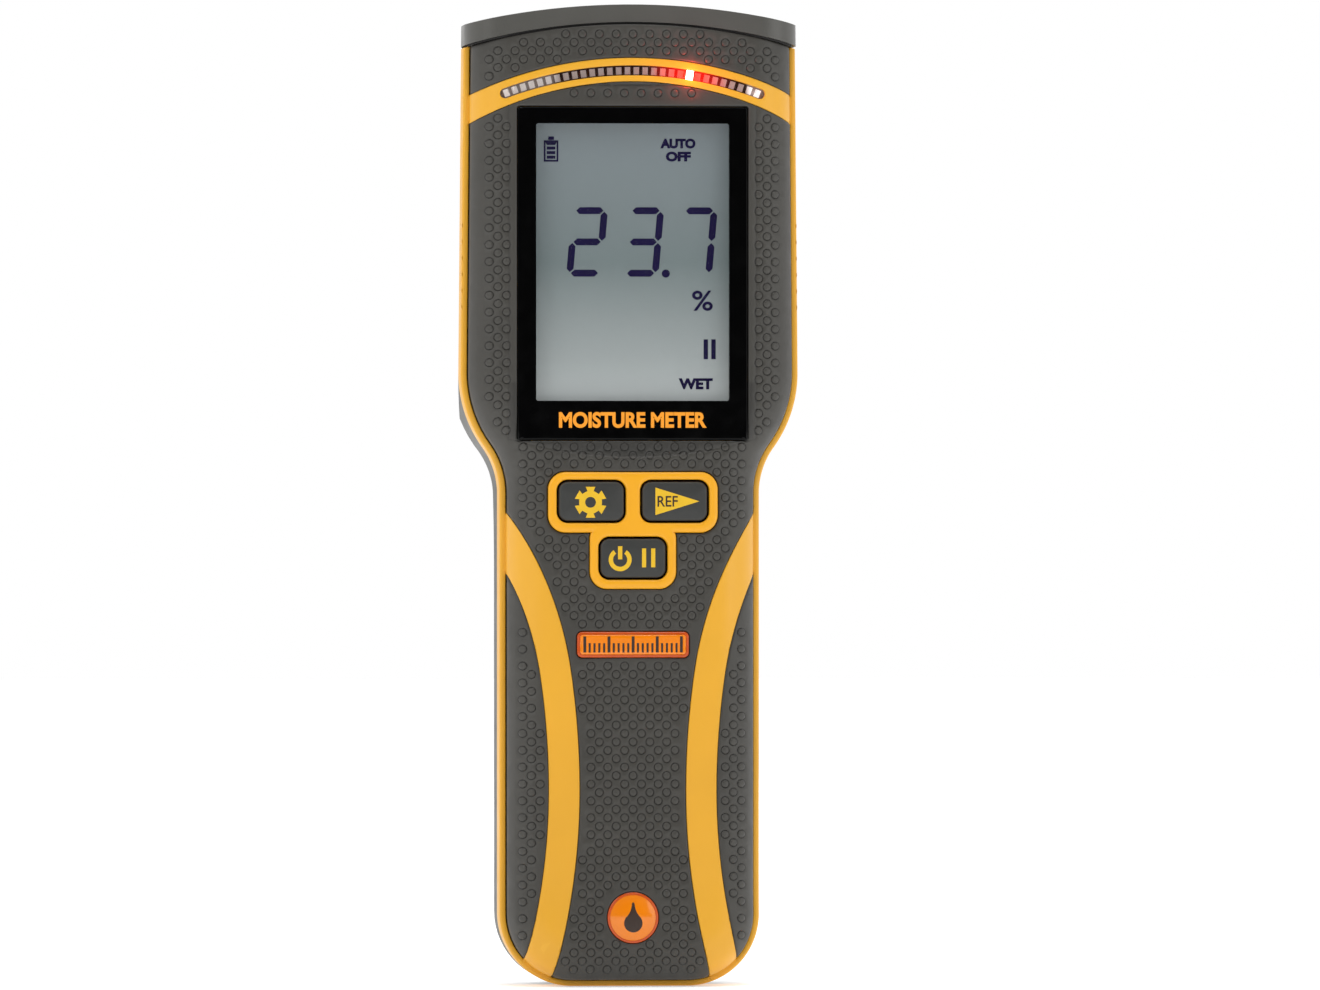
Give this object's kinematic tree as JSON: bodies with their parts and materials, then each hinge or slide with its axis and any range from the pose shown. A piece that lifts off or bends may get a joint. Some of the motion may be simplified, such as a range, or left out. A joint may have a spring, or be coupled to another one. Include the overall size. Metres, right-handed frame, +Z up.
{
  "type": "moisture meter",
  "caption": "Hand-held probe-type moisture meter with a display, a curved light scale, keys, a pull-off end cap over the probe socket and a hinged battery door.",
  "frame": {"origin": "middle of the lower end's flat land, on the parting plane of the two shells", "axes": "+Z up along the length, the display faces -Y, +X to the right of a person reading the display"},
  "size_m": [0.0708, 0.0489, 0.203],
  "materials": {
    "shell_yellow": "moulded ABS, semi-gloss",
    "grip_rubber": "soft overmould with raised round dots",
    "case_dark": "fine moulded satin",
    "door_plastic": "fine moulded satin",
    "seal_rubber": "smooth",
    "screw_steel": "zinc plated",
    "socket_metal": "nickel plated",
    "lens_acrylic": "clear acrylic with a black printed border",
    "lcd": "grey liquid crystal glass",
    "diffuser": "milky light guide",
    "frame_plastic": "moulded",
    "zebra": "layered conductive rubber",
    "scale_clear": "clear polycarbonate strip",
    "board_green": "solder mask",
    "light_package": "white light package",
    "pin_gold": "gold flash",
    "bezel_yellow": "gloss moulded",
    "key_rubber": "smooth satin with printed marks",
    "mat_silicone": "translucent silicone",
    "switch_metal": "stamped",
    "badge_orange": "domed resin",
    "chip_black": "moulded epoxy",
    "shield_tin": "tin plated",
    "connector_white": "nylon",
    "cell_sleeve": "printed sleeve",
    "contact_nickel": "nickel plated",
    "lead_sleeve": "PVC"
  },
  "bodies": {
    "case": {"battery_cells": "cell_sleeve", "battery_leads": "lead_sleeve", "battery_tray": "frame_plastic", "board_chips": "chip_black", "board_connector": "connector_white", "buzzer": "chip_black", "case_screws": "screw_steel", "case_seal": "seal_rubber", "contact_plates": "contact_nickel", "contact_springs": "contact_nickel", "display_lens": "lens_acrylic", "end_seal": "seal_rubber", "front_grip": "grip_rubber", "front_shell": "shell_yellow", "key_switches": "switch_metal", "keypad_bezel": "bezel_yellow", "keypad_mat": "mat_silicone", "lcd_backlight": "diffuser", "lcd_connectors": "zebra", "lcd_frame": "frame_plastic", "lcd_glass": "lcd", "lens_seal": "seal_rubber", "main_board": "board_green", "name_badge": "badge_orange", "probe_jack": "socket_metal", "rear_grip": "grip_rubber", "rear_shell": "case_dark", "round_badge": "badge_orange", "scale_board": "board_green", "scale_header": "pin_gold", "scale_lights": "light_package", "scale_window": "scale_clear", "top_deck": "case_dark", "wireless_module": "shield_tin"},
    "cap": {"end_cap": "case_dark"},
    "door": {"battery_door": "door_plastic"},
    "setup_key": {"setup_button": "key_rubber"},
    "reference_key": {"reference_button": "key_rubber"},
    "power_key": {"power_button": "key_rubber"}
  },
  "joints": [
    {"name": "cap_pull", "type": "slide", "parent": "case", "child": "cap", "axis": [0, 0, 1], "range_m": [0, 0.03]},
    {"name": "door_hinge", "type": "hinge", "parent": "case", "child": "door", "pos_m": [0, 0.016, 0.0174], "axis": [-1, 0, 0], "range_deg": [0, 100]},
    {"name": "setup_press", "type": "slide", "parent": "case", "child": "setup_key", "axis": [0, 1, 0], "range_m": [0, 0.0008], "stiffness_N_per_m": 900, "springref_m": -0.0006},
    {"name": "reference_press", "type": "slide", "parent": "case", "child": "reference_key", "axis": [0, 1, 0], "range_m": [0, 0.0008], "stiffness_N_per_m": 900, "springref_m": -0.0006},
    {"name": "power_press", "type": "slide", "parent": "case", "child": "power_key", "axis": [0, 1, 0], "range_m": [0, 0.0008], "stiffness_N_per_m": 900, "springref_m": -0.0006}
  ]
}
